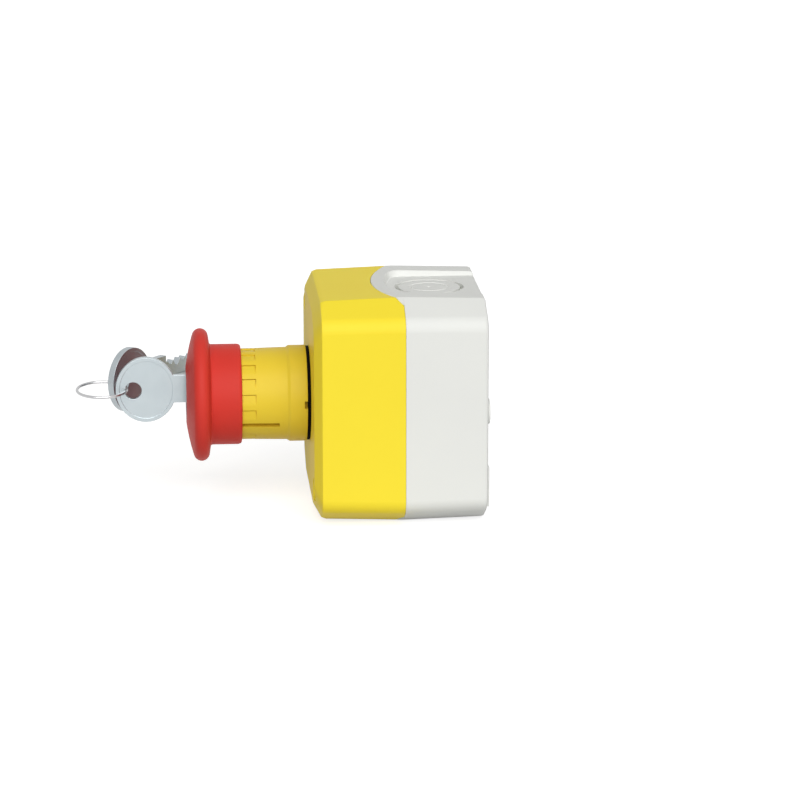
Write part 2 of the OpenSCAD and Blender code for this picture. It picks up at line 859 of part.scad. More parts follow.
module return_spring() {
    color([0.70, 0.71, 0.73])
        outward()
            coil(spring_seat_y + turn_gap, cap_ceiling_y - turn_gap,
                hub_d / 2 + spring_room_t - return_wire / 2 - 0.3, return_wire, 6, 20);
}

module bow_outline(inset = 0) {
    polygon([for (a = [0 : 7.5 : 359]) [(bow_l / 2 - inset) * cos(a), (bow_h / 2 - inset) * sin(a)]]);
}

// A key lying in the YZ plane, its bow's centre at the origin and its blade along +Y
module key() {
    cut_pitch = 3;
    cut_depths = [1.1, 1.9, 0.8, 1.6, 1.2];
    land = 0.8;
    groove_d = 0.5;
    groove_w = 1.1;
    blade_end = key_shoulder + blade_l;
    blade_low = blade_z - bow_z;
    blade_high = blade_low + blade_h;
    first_cut = key_shoulder + 2.2;
    last_cut = floor((blade_end - 2.8 - first_cut) / cut_pitch);
    shank_high = blade_low + shank_w;
    // The teeth are cut from the blade's end back to the shoulder
    teeth = [for (i = [min(last_cut, len(cut_depths) - 1) : -1 : 0]) each
        let (x = first_cut + i * cut_pitch, d = cut_depths[i])
        [[x + land / 2 + d * 0.7, blade_high], [x + land / 2, blade_high - d],
            [x - land / 2, blade_high - d], [x - land / 2 - d * 0.7, blade_high]]];
    rotate([90, 0, 90])
        difference() {
            translate([0, 0, -key_t / 2])
                linear_extrude(key_t)
                    difference() {
                        union() {
                            bow_outline();
                            polygon(concat(
                                [[0, blade_low], [blade_end - 1.2, blade_low], [blade_end, blade_low + 1.2],
                                    [blade_end, blade_high - 2.2], [blade_end - 1.4, blade_high]],
                                teeth,
                                [[key_shoulder, blade_high], [key_shoulder, shank_high], [0, shank_high]]));
                        }
                        translate([-key_hole_off, -0.2])
                            circle(d = key_hole_d);
                    }
            // A sunk field on each side of the bow
            for (s = [-1, 1])
                translate([0, 0, s * key_t / 2 - bow_field_d])
                    linear_extrude(2 * bow_field_d)
                        bow_outline(bow_border);
            // A groove along each side of the blade, at its own height
            for (s = [-1, 1])
                translate([key_shoulder + 0.6, blade_low + 2.25 - s * 0.65, s * key_t / 2 - groove_d])
                    cube([blade_l + 1, groove_w, 2 * groove_d]);
        }
}

module operating_key() {
    color([0.80, 0.83, 0.85])
        translate([0, -bow_y, bow_z])
            key();
}

module spare_key() {
    color([0.66, 0.65, 0.64])
        translate(spare_at)
            rotate(spare_turn)
                key();
}

module key_ring() {
    color([0.85, 0.86, 0.87])
        translate([0, -ring_y, ring_z])
            rotate([0, ring_tilt, 0])
                translate([0, -ring_d / 2, 0])
                    rotate_extrude()
                        translate([ring_d / 2, 0])
                            circle(d = ring_wire, $fn = 16);
}

// Half of a block is drawn to the right of the middle; the other block is its mirror image
module on_side(side) {
    outward()
        mirror([side > 0 ? 0 : 1, 0, 0])
            children();
}

// Housing of a contact block, open towards its cover and round its terminals
module block_housing(side, strip_y) {
    open_w = block_w - block_wall;
    pocket_l = 7;
    slot_l = 12;
    hole_d = small_screw_d + 0.4;
    on_side(side)
        difference() {
            union() {
                bar(block_x, 0, block_w, block_h, base_floor_y, block_front);
                bar(block_x, 0, block_w, block_h + 2 * ear_l, base_floor_y, base_floor_y + ear_t);
            }
            // Room for the bridge and spring
            bar(block_x + block_wall / 2, 0, open_w + 0.01, spring_room_h,
                spring_foot_y, block_front - block_wall);
            // Terminal pockets, open towards the front and the end, with a slot for the strip
            for (z = [-1, 1]) {
                bar(block_x, z * (terminal_z - 3 + pocket_l / 2), pocket_w, pocket_l,
                    strip_y + strip_t, block_front + cut);
                bar(block_x, z * (terminal_z - 1), strip_w + 2 * screw_gap, slot_l,
                    strip_y, strip_y + strip_t + 0.01);
                at(block_x, z * terminal_z, base_floor_y + 5)
                    cylinder(h = block_front, d = hole_d);
                at(block_x, z * ear_screw_z, base_floor_y - cut)
                    cylinder(h = ear_t + 2 * cut, d = hole_d);
            }
            bar(block_x, 0, plunger_x + 2 * slide_gap, plunger_z + 2 * slide_gap,
                block_front - 2 * block_wall, block_front + cut);
        }
}

// A clear cover fits into the open side of a block
module block_cover(side) {
    cover_t = block_wall - latch_gap;
    on_side(side)
        bar(block_x + block_w / 2 - cover_t / 2, 0, cover_t, spring_room_h - 2 * screw_gap,
            spring_foot_y + screw_gap, block_front - block_wall - screw_gap);
}

// Two strips that run from a terminal to a contact tip beside the plunger
module fixed_contacts(side, strip_y, tip_side) {
    inner_z = tip_z - 2;
    outer_z = terminal_z + 2.5;
    tip_y = tip_side > 0 ? strip_y + strip_t : strip_y - tip_h;
    on_side(side)
        for (z = [-1, 1])
            difference() {
                union() {
                    bar(block_x, z * (inner_z + outer_z) / 2, strip_w, outer_z - inner_z,
                        strip_y, strip_y + strip_t);
                    at(block_x, z * tip_z, tip_y - (tip_side > 0 ? 0.1 : 0))
                        cylinder(h = tip_h + 0.1, r = tip_r);
                }
                at(block_x, z * terminal_z, strip_y - cut)
                    cylinder(h = strip_t + 2 * cut, d = small_screw_d + 2 * screw_gap);
            }
}

module nc_housing() {
    color([0.42, 0.43, 0.45]) block_housing(-1, nc_strip_y);
}

module no_housing() {
    color([0.42, 0.43, 0.45]) block_housing(1, no_strip_y);
}

module nc_cover() {
    color([0.62, 0.20, 0.18]) block_cover(-1);
}

module no_cover() {
    color([0.20, 0.52, 0.30]) block_cover(1);
}

module nc_fixed_contacts() {
    color([0.80, 0.62, 0.35]) fixed_contacts(-1, nc_strip_y, -1);
}

module no_fixed_contacts() {
    color([0.80, 0.62, 0.35]) fixed_contacts(1, no_strip_y, 1);
}

module terminals(side) {
    on_side(side)
        for (z = [-1, 1])
            at(block_x, z * terminal_z, 0)
                children();
}

module clamp_plates() {
    color([0.72, 0.73, 0.74])
        for (side = [-1, 1])
            let (y = (side < 0 ? nc_strip_y : no_strip_y) + strip_t + clamp_lift)
            terminals(side)
                difference() {
                    bar(0, 0, pocket_w - 1, strip_w, y, y + clamp_t);
                    tube(y - cut, y + clamp_t + cut, small_screw_d / 2 + screw_gap);
                }
}

module terminal_screws() {
    color([0.76, 0.77, 0.79])
        for (side = [-1, 1])
            let (y = (side < 0 ? nc_strip_y : no_strip_y) + strip_t + clamp_lift + clamp_t)
            terminals(side)
                screw(y, small_screw_d, clamp_t + clamp_lift + strip_t + 2, small_head_d, 2);
}

module block_screws() {
    seat_y = base_floor_y + ear_t;
    color([0.76, 0.77, 0.79])
        outward()
            block_screw_places()
                screw(seat_y, small_screw_d, seat_y - block_screw_end_y, small_head_d, 2);
}

// A plunger with a nose inside its spring and a window for the bridge
module plunger(side) {
    on_side(side)
        difference() {
            union() {
                bar(block_x, 0, plunger_x, plunger_z, spring_top_y, plunger_top_y);
                at(block_x, 0, spring_top_y - nose_h)
                    cylinder(h = nose_h + cut, r = nose_r);
            }
            bar(block_x, 0, bridge_w, plunger_z + 1, bridge_y, bridge_y + bridge_t);
        }
}

// A contact bridge through the plunger, with its tips towards the front or the back
module bridge(side, tip_side) {
    on_side(side) {
        bar(block_x, 0, bridge_w, bridge_z, bridge_y, bridge_y + bridge_t);
        for (z = [-1, 1])
            at(block_x, z * tip_z, tip_side > 0 ? bridge_y + bridge_t - 0.1 : bridge_y - tip_h)
                cylinder(h = tip_h + 0.1, r = tip_r);
    }
}

module block_spring(side) {
    on_side(side)
        at(block_x, 0, 0)
            coil(spring_foot_y + tip_gap, spring_top_y - tip_gap,
                nose_r + block_wire / 2 + 0.2, block_wire, 4, 12);
}

module nc_plunger() {
    color([0.90, 0.88, 0.84]) plunger(-1);
}

module no_plunger() {
    color([0.90, 0.88, 0.84]) plunger(1);
}

module nc_bridge() {
    color([0.80, 0.62, 0.35]) bridge(-1, 1);
}

module no_bridge() {
    color([0.80, 0.62, 0.35]) bridge(1, -1);
}

module nc_spring() {
    color([0.70, 0.71, 0.73]) block_spring(-1);
}

module no_spring() {
    color([0.70, 0.71, 0.73]) block_spring(1);
}

base_box();
front_lid();
lid_seal();
lid_screws();
head_sleeve();
head_gasket();
fixing_nut();
nc_housing();
nc_cover();
nc_fixed_contacts();
no_housing();
no_cover();
no_fixed_contacts();
clamp_plates();
terminal_screws();
block_screws();
mushroom_cap();
lock_case();
lock_retainer();
ram();
pusher_plate();
pusher_screw();
return_spring();
lock_plug();
latch_collar();
collar_screw();
operating_key();
key_ring();
spare_key();
nc_plunger();
nc_bridge();
nc_spring();
no_plunger();
no_bridge();
no_spring();
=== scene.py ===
import json
import math

import bmesh
import bpy
from mathutils import Matrix, Vector


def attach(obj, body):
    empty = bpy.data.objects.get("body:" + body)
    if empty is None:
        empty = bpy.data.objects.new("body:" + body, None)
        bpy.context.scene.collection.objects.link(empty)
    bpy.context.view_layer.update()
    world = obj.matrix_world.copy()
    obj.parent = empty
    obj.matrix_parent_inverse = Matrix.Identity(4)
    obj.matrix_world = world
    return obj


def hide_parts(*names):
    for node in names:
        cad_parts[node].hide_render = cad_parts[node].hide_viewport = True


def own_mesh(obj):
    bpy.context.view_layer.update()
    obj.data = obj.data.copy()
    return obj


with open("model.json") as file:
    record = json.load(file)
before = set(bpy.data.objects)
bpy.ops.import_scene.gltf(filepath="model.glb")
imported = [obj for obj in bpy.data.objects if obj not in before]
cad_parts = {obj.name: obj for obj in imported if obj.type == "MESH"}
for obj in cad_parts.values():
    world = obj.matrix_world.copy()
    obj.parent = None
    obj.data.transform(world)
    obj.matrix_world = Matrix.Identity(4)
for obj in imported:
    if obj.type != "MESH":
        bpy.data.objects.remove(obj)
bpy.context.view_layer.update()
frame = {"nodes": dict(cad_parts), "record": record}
mm = 0.001


print("stage: camera")

cameraLook = {
    "target": (0, -24.37 * mm, -2.88 * mm),
    "azimuth": 4.476,      # degrees from +X towards -Y
    "elevation": 13.888,
    "distance": 1.0697,
    "lens": 158.98,
    "sensor": 36,
    "clip": (0.05, 30),
}


def direction(azimuth, elevation):
    turn, up = math.radians(azimuth), math.radians(elevation)
    return Vector((math.cos(up) * math.cos(turn), -math.cos(up) * math.sin(turn), math.sin(up)))


def placeCamera(look):
    towards = direction(look["azimuth"], look["elevation"])
    lens = bpy.data.cameras.new("photoCamera")
    lens.lens = look["lens"]
    lens.sensor_width = look["sensor"]
    lens.clip_start, lens.clip_end = look["clip"]
    camera = bpy.data.objects.new("photoCamera", lens)
    camera.location = Vector(look["target"]) + look["distance"] * towards
    camera.rotation_euler = towards.to_track_quat("Z", "Y").to_euler()
    bpy.context.collection.objects.link(camera)
    bpy.context.scene.camera = camera


placeCamera(cameraLook)
bpy.context.scene.view_settings.view_transform = "Standard"


print("stage: materials")

bumpHeight = 0.02 * mm  # grain and scratches stand this high


def toLinear(hexColour):
    channels = [int(hexColour[i:i + 2], 16) / 255 for i in (1, 3, 5)]
    return [c / 12.92 if c <= 0.04045 else ((c + 0.055) / 1.055) ** 2.4 for c in channels] + [1]


def addNode(tree, kind, settings=None, links=None):
    # settings are attributes or input values, links go from another node's output into an input
    node = tree.nodes.new(kind)
    for key, value in (settings or {}).items():
        if isinstance(key, str) and hasattr(node, key):
            setattr(node, key, value)
        else:
            node.inputs[key].default_value = value
    for key, source in (links or {}).items():
        tree.links.new(source, node.inputs[key])
    return node


def newMaterial(name):
    material = bpy.data.materials.new(name)
    material.use_nodes = True
    material.node_tree.nodes.clear()
    return material, material.node_tree


def finishMaterial(tree, look, tones, relief, settings):
    # the colour follows one pattern, gloss and bumps the other
    colour = addNode(tree, "ShaderNodeMix",
                     {"data_type": "RGBA", 6: toLinear(look["colour"]), 7: toLinear(look["shade"])},
                     {0: tones.outputs["Fac"]})
    gloss = addNode(tree, "ShaderNodeMapRange",
                    {"To Min": look["roughness"] - look["glossDrift"],
                     "To Max": look["roughness"] + look["glossDrift"]},
                    {"Value": relief.outputs["Fac"]})
    bump = addNode(tree, "ShaderNodeBump", {"Strength": look["bump"], "Distance": bumpHeight},
                   {"Height": relief.outputs["Fac"]})
    shader = addNode(tree, "ShaderNodeBsdfPrincipled", settings,
                     {"Base Color": colour.outputs[2], "Roughness": gloss.outputs["Result"],
                      "Normal": bump.outputs["Normal"]})
    addNode(tree, "ShaderNodeOutputMaterial", links={"Surface": shader.outputs["BSDF"]})


def mouldedPlastic(name, look):
    # spark eroded mould face: a fine even grain, a slow drift of colour, gloss that changes a little
    material, tree = newMaterial(name)
    place = addNode(tree, "ShaderNodeTexCoord").outputs["Object"]
    drift = addNode(tree, "ShaderNodeTexNoise", {"Scale": 1 / look["driftSize"], "Detail": 3}, {"Vector": place})
    grain = addNode(tree, "ShaderNodeTexNoise", {"Scale": 1 / look["grainSize"], "Detail": 2, "Roughness": 0.6},
                    {"Vector": place})
    finishMaterial(tree, look, drift, grain, {"IOR": look["ior"], "Specular IOR Level": look["shine"]})
    return material


def metal(name, look):
    # tumbled or drawn metal: short scratches along one direction over a soft cloudiness
    material, tree = newMaterial(name)
    place = addNode(tree, "ShaderNodeTexCoord").outputs["Object"]
    stretch = addNode(tree, "ShaderNodeMapping", {"Scale": look["stretch"]}, {"Vector": place})
    scratch = addNode(tree, "ShaderNodeTexNoise", {"Scale": 1 / look["scratchSize"], "Detail": 4},
                      {"Vector": stretch.outputs["Vector"]})
    cloud = addNode(tree, "ShaderNodeTexNoise", {"Scale": 1 / look["cloudSize"], "Detail": 3}, {"Vector": place})
    finishMaterial(tree, look, cloud, scratch, {"Metallic": 1.0})
    return material


plasticLooks = {
    # ABS, moulded in a fine matt tool: the lid's warm yellow
    "yellowAbs": {"colour": "#FFE93C", "shade": "#FDE338", "driftSize": 24 * mm, "grainSize": 0.3 * mm,
                  "roughness": 0.5, "glossDrift": 0.06, "bump": 0.12, "ior": 1.5, "shine": 0.16},
    # ABS, the same tool finish in light grey
    "greyAbs": {"colour": "#EDEEE9", "shade": "#E8E9E5", "driftSize": 24 * mm, "grainSize": 0.3 * mm,
                "roughness": 0.5, "glossDrift": 0.06, "bump": 0.12, "ior": 1.5, "shine": 0.16},
    # polyamide, a little deeper and duller than the lid
    "yellowPolyamide": {"colour": "#ECD03C", "shade": "#E6C936", "driftSize": 12 * mm, "grainSize": 0.25 * mm,
                        "roughness": 0.45, "glossDrift": 0.07, "bump": 0.15, "ior": 1.53, "shine": 0.18},
    # the same polyamide made darker as painted shade in the narrow groove and the notch
    "grooveShadePolyamide": {"colour": "#D2AE2A", "shade": "#BE9A20", "driftSize": 2 * mm, "grainSize": 0.2 * mm,
                        "roughness": 0.7, "glossDrift": 0.08, "bump": 0.25, "ior": 1.53, "shine": 0.1},
    # polyamide with a satin face, signal red
    "redPolyamide": {"colour": "#D93F36", "shade": "#D13930", "driftSize": 14 * mm, "grainSize": 0.25 * mm,
                     "roughness": 0.5, "glossDrift": 0.06, "bump": 0.12, "ior": 1.53, "shine": 0.12},
    # nitrile rubber, matt with a dusty bloom
    "blackRubber": {"colour": "#080605", "shade": "#100D0A", "driftSize": 3 * mm, "grainSize": 0.2 * mm,
                    "roughness": 0.78, "glossDrift": 0.08, "bump": 0.3, "ior": 1.5, "shine": 0.06},
    # glass filled polyester of the contact blocks, dull and slightly coarse
    "darkPolyester": {"colour": "#4A4C50", "shade": "#3E4044", "driftSize": 6 * mm, "grainSize": 0.2 * mm,
                      "roughness": 0.55, "glossDrift": 0.1, "bump": 0.25, "ior": 1.55, "shine": 0.4},
    # acetal of plungers and ram, waxy and pale
    "whiteAcetal": {"colour": "#E9E6DD", "shade": "#DFDCD2", "driftSize": 6 * mm, "grainSize": 0.3 * mm,
                    "roughness": 0.34, "glossDrift": 0.05, "bump": 0.06, "ior": 1.48, "shine": 0.4},
    # covers of the two contact blocks, smooth, red for opening and green for closing
    "redCover": {"colour": "#A8362E", "shade": "#9C3029", "driftSize": 6 * mm, "grainSize": 0.3 * mm,
                 "roughness": 0.3, "glossDrift": 0.05, "bump": 0.05, "ior": 1.5, "shine": 0.4},
    "greenCover": {"colour": "#368A50", "shade": "#2F7E48", "driftSize": 6 * mm, "grainSize": 0.3 * mm,
                   "roughness": 0.3, "glossDrift": 0.05, "bump": 0.05, "ior": 1.5, "shine": 0.4},
}
metalLooks = {
    # nickel on brass, tumbled before plating: soft and slightly blue
    "nickelBrass": {"colour": "#BBC4C7", "shade": "#AFB8BC", "cloudSize": 5 * mm, "scratchSize": 0.35 * mm,
                    "stretch": (1, 1, 0.25), "roughness": 0.34, "glossDrift": 0.07, "bump": 0.15},
    # the spare key, nickel that has dulled
    "dulledNickel": {"colour": "#B4BBBE", "shade": "#A3AAAE", "cloudSize": 4 * mm, "scratchSize": 0.35 * mm,
                     "stretch": (1, 1, 0.25), "roughness": 0.38, "glossDrift": 0.08, "bump": 0.2},
    # drawn stainless spring wire, the brightest metal here
    "drawnWire": {"colour": "#C4C4C5", "shade": "#B4B4B6", "cloudSize": 2 * mm, "scratchSize": 0.2 * mm,
                  "stretch": (1, 1, 1), "roughness": 0.22, "glossDrift": 0.05, "bump": 0.1},
    # zinc plated steel of the screws, pale and a little cloudy
    "zincSteel": {"colour": "#C9CCCE", "shade": "#B9BDC2", "cloudSize": 1.5 * mm, "scratchSize": 0.15 * mm,
                  "stretch": (1, 1, 1), "roughness": 0.36, "glossDrift": 0.08, "bump": 0.15},
    # blackened steel of the latch, dark with a dull shine
    "blackSteel": {"colour": "#6B6D70", "shade": "#5A5C60", "cloudSize": 2 * mm, "scratchSize": 0.2 * mm,
                   "stretch": (1, 1, 1), "roughness": 0.45, "glossDrift": 0.08, "bump": 0.15},
    # rolled contact brass, warm, with fine rolling lines
    "rolledBrass": {"colour": "#D9B06A", "shade": "#C99D58", "cloudSize": 3 * mm, "scratchSize": 0.2 * mm,
                    "stretch": (1, 1, 0.2), "roughness": 0.3, "glossDrift": 0.07, "bump": 0.15},
}
finishes = {name: mouldedPlastic(name, look) for name, look in plasticLooks.items()}
finishes.update({name: metal(name, look) for name, look in metalLooks.items()})

finishOfSlot = {
    "grey_plastic": "greyAbs", "yellow_plastic": "yellowAbs", "sleeve_yellow": "yellowPolyamide",
    "red_plastic": "redPolyamide", "black_rubber": "blackRubber", "dark_plastic": "darkPolyester",
    "white_plastic": "whiteAcetal", "red_cover": "redCover", "green_cover": "greenCover",
    "screw_steel": "zincSteel", "spring_steel": "drawnWire", "latch_steel": "blackSteel",
    "lock_metal": "nickelBrass", "key_metal": "nickelBrass", "spare_key_metal": "dulledNickel",
    "ring_wire": "drawnWire", "contact_brass": "rolledBrass",
}
slotOfNode = {part["node"]: part["material_slot"] for part in frame["record"]["subparts"]}
bodyOfNode = {node: body for body, nodes in frame["record"]["behaviour"]["bodies"].items() for node in nodes}
for node, solid in frame["nodes"].items():
    solid.data.materials.clear()
    solid.data.materials.append(finishes[finishOfSlot[slotOfNode[node]]])


print("stage: box, keys, mushroom and lock")

mergeWithin = 0.002 * mm


def mergedShape(node):
    shape = bmesh.new()
    shape.from_mesh(frame["nodes"][node].data)
    bmesh.ops.remove_doubles(shape, verts=shape.verts, dist=mergeWithin)
    return shape


def smoothMesh(name, shape, sharpFrom=None):
    for face in shape.faces:
        face.smooth = True
    mesh = bpy.data.meshes.new(name)
    shape.to_mesh(mesh)
    shape.free()
    if sharpFrom is not None:
        mesh.set_sharp_from_angle(angle=math.radians(sharpFrom))
    return mesh


def pieceFrom(name, mesh, node):
    # a finished piece that stands for one node and moves with its body
    piece = bpy.data.objects.new(name, mesh)
    bpy.context.collection.objects.link(piece)
    mesh.materials.clear()
    mesh.materials.append(finishes[finishOfSlot[slotOfNode[node]]])
    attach(piece, bodyOfNode[node])
    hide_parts(node)
    return piece


def readShape(node, look):
    # a merged copy of the node's own shape, its flat faces whole again
    shape = mergedShape(node)
    bmesh.ops.dissolve_limit(shape, angle_limit=math.radians(look["flat"]), use_dissolve_boundaries=False,
                             verts=shape.verts, edges=shape.edges, delimit={"NORMAL"})
    return shape


def softEdges(name, node, look, shape=None, share=None):
    # sharp edges broken, as a mould or a tumbler leaves them; share says how much of the radius an edge gets
    shape = shape or readShape(node, look)
    weight = shape.edges.layers.float.new("bevel_weight_edge")
    for edge in shape.edges:
        if len(edge.link_faces) == 2 and edge.calc_face_angle() > math.radians(look["crease"]):
            edge[weight] = share(edge) if share else 1
    piece = pieceFrom(name, smoothMesh(name, shape), node)
    bevel = piece.modifiers.new("brokenEdge", "BEVEL")
    bevel.width = look["radius"]
    bevel.segments = look["steps"]
    bevel.limit_method = "WEIGHT"
    bevel.use_clamp_overlap = look.get("clamp", False)
    flats = piece.modifiers.new("evenFlats", "WEIGHTED_NORMAL")
    flats.weight = 100


# flat is the angle in degrees up to which faces join, crease the angle from which an edge is broken
boxLook = {
    "flat": 0.5, "crease": 20, "radius": 0.18 * mm, "steps": 3,
    "seam": 25.2 * mm,                  # the parting line, where both edges stay keen
    "seamWithin": 0.05 * mm,
    "seamShare": 0.25,
    "footZone": (-1.4 * mm, -24 * mm),  # y and z of the lower feet, which reach the outline
    "footShare": 0.08,
}
knockOutLook = {
    "centre": 15.6 * mm,                # distance from the wall
    "floor": 31.7 * mm,                 # height of the recess in the source
    "radius": 10.4 * mm,
    "grooveDeep": 1.3 * mm,
    "grooveWide": 1.1 * mm,
    "faceUp": 1.67 * mm,                # from the groove's floor to the disc's face
    "faceDraft": 0.04 * mm,
    "ringAt": 3.2 * mm,                 # from the disc's edge to the fine inner ring
    "ringWide": 0.5 * mm,
    "ringDeep": 0.22 * mm,
    "ringDraft": 0.08 * mm,
    "dimpleRadius": 0.8 * mm,
    "dimpleSlope": 0.5 * mm,
    "dimpleDeep": 0.3 * mm,
    "keenWithin": 10.6 * mm,            # edges nearer the centre than this, and above keenAbove, stay keen
    "keenAbove": 31 * mm,
    "keenShare": 0.35,
}


def insetFace(shape, face, thickness, depth):
    bmesh.ops.inset_individual(shape, faces=[face], thickness=thickness, depth=depth, use_even_offset=True)


def knockOut(shape, look, side):
    # the recess's floor becomes a ring groove round a disc that lies level with the pad
    centre = Vector((0, -look["centre"], side * look["floor"]))
    wide = [face for face in shape.faces if face.calc_area() > 2 * look["radius"] ** 2]
    floor = min(wide, key=lambda face: (face.calc_center_median() - centre).length)
    insetFace(shape, floor, 0, -look["grooveDeep"])
    insetFace(shape, floor, look["grooveWide"], 0)
    insetFace(shape, floor, look["faceDraft"], look["faceUp"])
    insetFace(shape, floor, look["ringAt"], 0)
    insetFace(shape, floor, look["ringDraft"], -look["ringDeep"])
    insetFace(shape, floor, look["ringWide"], 0)
    insetFace(shape, floor, look["ringDraft"], look["ringDeep"])
    used = look["grooveWide"] + look["faceDraft"] + look["ringAt"] + look["ringWide"] + 2 * look["ringDraft"]
    insetFace(shape, floor, look["radius"] - used - look["dimpleRadius"], 0)
    insetFace(shape, floor, look["dimpleSlope"], -look["dimpleDeep"])


def boxShare(edge):
    ends = [vert.co for vert in edge.verts]
    if all(abs(end.y + boxLook["seam"]) < boxLook["seamWithin"] for end in ends):
        return boxLook["seamShare"]
    footY, footZ = boxLook["footZone"]
    if all(end.y > footY and end.z < footZ for end in ends):
        return boxLook["footShare"]
    return 1


def baseShare(edge):
    # groove, ring and dimple keep keener edges than the box
    look = knockOutLook
    for vert in edge.verts:
        away = math.hypot(vert.co.x, vert.co.y + look["centre"])
        if away >= look["keenWithin"] or abs(vert.co.z) <= look["keenAbove"]:
            return boxShare(edge)
    return look["keenShare"]


baseForm = readShape("base_box", boxLook)
for side in (1, -1):
    knockOut(baseForm, knockOutLook, side)
softEdges("baseShell", "base_box", boxLook, baseForm, baseShare)
softEdges("lidShell", "front_lid", boxLook, share=boxShare)

edgeLooks = {
    "operating_key": {"name": "keyInLock", "flat": 0.5, "crease": 40, "radius": 0.09 * mm, "steps": 2},
    "spare_key": {"name": "spareKey", "flat": 0.5, "crease": 40, "radius": 0.09 * mm, "steps": 2},
    "mushroom_cap": {"name": "mushroomHead", "flat": 0.2, "crease": 35, "radius": 0.25 * mm, "steps": 3, "clamp": True},
    "head_gasket": {"name": "bezelGasket", "flat": 0.2, "crease": 35, "radius": 0.15 * mm, "steps": 2},
    "lock_case": {"name": "lockCase", "flat": 0.2, "crease": 35, "radius": 0.1 * mm, "steps": 2, "clamp": True},
    "lock_plug": {"name": "lockPlug", "flat": 0.2, "crease": 35, "radius": 0.12 * mm, "steps": 2, "clamp": True},
    "lid_screws": {"name": "lidScrews", "flat": 0.2, "crease": 35, "radius": 0.12 * mm, "steps": 2, "clamp": True},
}
for node, look in edgeLooks.items():
    softEdges(look["name"], node, look)


print("stage: sleeve")

# lengths in millimetres and angles in degrees, from +X up towards +Z
sleeveLook = {
    # radius and distance from the wall, round the whole wall of the sleeve
    "profile": [(8.8, 42), (10.4, 42), (10.9, 42.5), (10.9, 53),                              # barrel
                (14.5, 53), (14.5, 53.9), (14.5, 53.93), (14.5, 58.1), (13.95, 58.9),         # bezel
                (13.9, 61.4), (13.9, 61.44), (13.76, 67.5),                                   # taper
                (13.75, 68.3), (13.75, 68.34), (13.75, 68.5), (13.75, 68.54),                 # ends of the pockets
                (13.75, 72.46), (13.75, 72.5), (13.75, 78.1), (13.35, 78.5), (12.4, 78.5),    # mouth
                (12.4, 66.5), (10.5, 66.5), (10.5, 58.8), (8.8, 58.8)],                       # bore
    "steps": 360,
    "edge": 0.12,
    "edgeFrom": 30,
    "sharpFrom": 28,
    "outerWall": 13.5,      # what lies within this radius, or past the mouth, isn't carved
    "mouth": 78.2,
    "pocketFrom": 68.32,
    "pocketPitch": 20,
    "pocketPhase": 12,
    "pocketRim": 0.5,       # a step nearer the pocket's upper edge than this stays
    "pocketSpan": 13,
    "pocketDeep": 0.34,
    "slitDeep": 0.45,       # more at the pocket's upper edge and end, where a keen corner holds its shadow
    "slitTo": 68.52,
    "slitSpan": 2.5,
    "slitSteps": {1: 0.12, 2: 0.85, 3: 0.97},  # the first steps of a pocket close up into the slit
    "noPocket": (-45, -26.5),                  # beside the long groove
    "grooveAt": -30,
    "grooveHalf": 2.9,
    "grooveDeep": 1.0,
    "grooveFrom": 61.42,
    "grooveTo": 72.48,
    "grooveFloor": 2.5,     # a step nearer than this stays, up to grooveSide it makes the foot of the side
    "grooveSide": 3.5,
    "grooveLip": 4.5,       # and up to this the lip
    "lipGap": 0.12,
    "notchHalf": 4.0,
    "notchAt": -1.2,
    "notchDeep": 1.5,
    "notchTo": 53.91,
    # where the darker polyamide paints shade into the long groove and the notch
    "grooveShadeZones": [
        {"away": (61.42, 72.48), "radius": (12.5, 13.7), "middle": -30, "half": 3.1},   # long groove
        {"away": (53, 53.96), "radius": (12.5, 14.3), "middle": -1.2, "half": 5.2},     # notch
    ],
    "ledgeRadii": (7.6, 9.1),
    "ledgeFrom": 53.7,
    "ledgeThick": 1.0,
    "ledgeSpan": 40,
    "ledgeSteps": 10,
    "ledgeAngles": (-65, 115),
}


def onSleeve(point):
    # angle, distance from the wall and radius
    return math.degrees(math.atan2(point.z, point.x)), -point.y / mm, math.hypot(point.x, point.z) / mm


def sleeveCarve(angle, away, radius, look):
    # new angle and radius of a point of the outer wall
    if radius < look["outerWall"] or away > look["mouth"]:
        return angle, radius
    off = angle - look["grooveAt"]
    if look["grooveFrom"] < away < look["grooveTo"] and abs(off) < look["grooveLip"]:
        if abs(off) > look["grooveSide"]:
            return look["grooveAt"] + math.copysign(look["grooveHalf"] + look["lipGap"], off), radius
        if abs(off) >= look["grooveFloor"]:
            off = math.copysign(look["grooveHalf"], off)
        return look["grooveAt"] + off, radius - look["grooveDeep"]
    if away < look["notchTo"] and abs(angle - look["notchAt"]) < look["notchHalf"]:
        return angle, radius - look["notchDeep"]
    below = (look["pocketPhase"] - angle) % look["pocketPitch"]
    plainFrom, plainTo = look["noPocket"]
    if away <= look["pocketFrom"] or plainFrom < angle < plainTo or not look["pocketRim"] < below < look["pocketSpan"]:
        return angle, radius
    inSlit = below < look["slitSpan"] or away < look["slitTo"]
    deep = look["pocketDeep"] + (look["slitDeep"] if inSlit else 0)
    closed = look["slitSteps"].get(round(below), below)
    return angle + below - closed, radius - deep * (1 - below / look["pocketSpan"])


